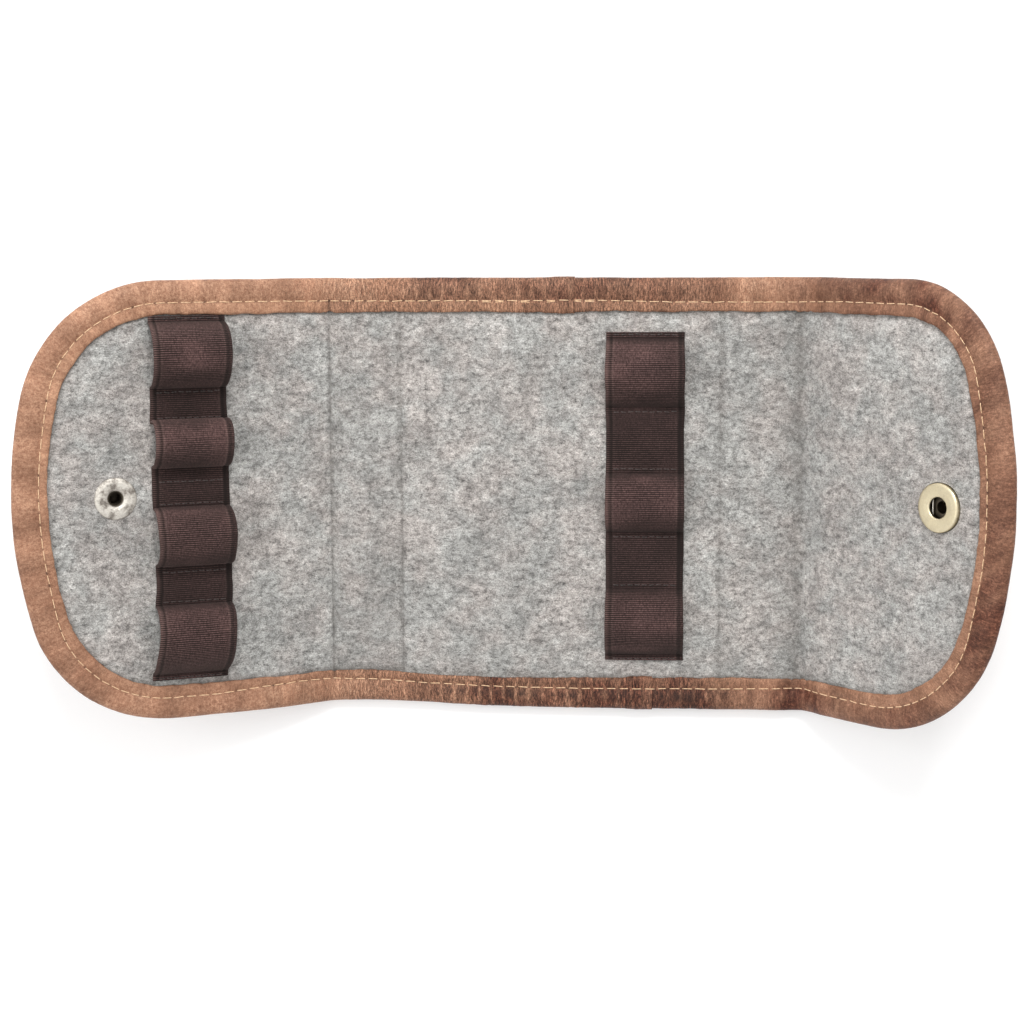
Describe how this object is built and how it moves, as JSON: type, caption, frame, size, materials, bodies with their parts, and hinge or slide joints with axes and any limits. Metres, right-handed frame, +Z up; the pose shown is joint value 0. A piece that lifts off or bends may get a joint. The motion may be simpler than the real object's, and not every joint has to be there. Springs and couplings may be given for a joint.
{
  "type": "fold-over roll case",
  "caption": "Leather fold-over case lined with felt, with looped elastic bands for slim tools, a bound edge and a ring snap.",
  "frame": {"origin": "on the underside of the middle panel, at its centre", "axes": "+X along the case towards the flap with the snap's socket, +Y across it, +Z up out of the felt"},
  "size_m": [0.2536, 0.1158, 0.0529],
  "materials": {
    "leather_shell": "matte waxed outer leather",
    "binding_leather": "vintage oiled leather strip with dark stains",
    "felt": "light grey mottled wool felt",
    "elastic": "dark brown ribbed elastic webbing",
    "seam_thread": "waxed light tan thread",
    "band_thread": "dark brown sewing thread",
    "nickel": "aged nickel plating",
    "brass": "pale satin brass",
    "spring_steel": "drawn spring wire"
  },
  "bodies": {
    "middle": {"middle_leather": "leather_shell", "middle_felt": "felt", "middle_binding_thread": "seam_thread", "middle_left_back_binding": "binding_leather", "middle_right_back_binding": "binding_leather", "middle_left_front_binding": "binding_leather", "middle_right_front_binding": "binding_leather", "right_elastic_band": "elastic", "right_band_stitches": "band_thread"},
    "left_spine": {"left_spine_leather": "leather_shell", "left_spine_felt": "felt", "left_spine_binding_thread": "seam_thread", "left_spine_back_binding": "binding_leather", "left_spine_front_binding": "binding_leather"},
    "left_flap": {"left_flap_leather": "leather_shell", "left_flap_felt": "felt", "left_flap_binding_thread": "seam_thread", "left_flap_binding": "binding_leather", "left_elastic_band": "elastic", "left_band_stitches": "band_thread", "snap_eyelet": "nickel", "snap_stud": "nickel"},
    "right_spine": {"right_spine_leather": "leather_shell", "right_spine_felt": "felt", "right_spine_binding_thread": "seam_thread", "right_spine_back_binding": "binding_leather", "right_spine_front_binding": "binding_leather"},
    "right_flap": {"right_flap_leather": "leather_shell", "right_flap_felt": "felt", "right_flap_binding_thread": "seam_thread", "right_flap_binding": "binding_leather", "snap_socket": "brass", "snap_spring": "spring_steel", "snap_post": "brass", "snap_cap": "brass"}
  },
  "joints": [
    {"name": "left_spine_fold", "type": "hinge", "parent": "middle", "child": "left_spine", "pos_m": [-0.0425, 0, 0.0015], "axis": [0, 1, 0], "range_deg": [0, 48.3]},
    {"name": "left_flap_fold", "type": "hinge", "parent": "left_spine", "child": "left_flap", "pos_m": [-0.0619, 0, 0.0015], "axis": [0, 1, 0], "range_deg": [-21.8, 107]},
    {"name": "right_spine_fold", "type": "hinge", "parent": "middle", "child": "right_spine", "pos_m": [0.0425, 0, 0.0015], "axis": [0, -1, 0], "range_deg": [0, 67.96]},
    {"name": "right_flap_fold", "type": "hinge", "parent": "right_spine", "child": "right_flap", "pos_m": [0.0646, 0, 0.0015], "axis": [0, -1, 0], "range_deg": [-44, 66.34]}
  ]
}
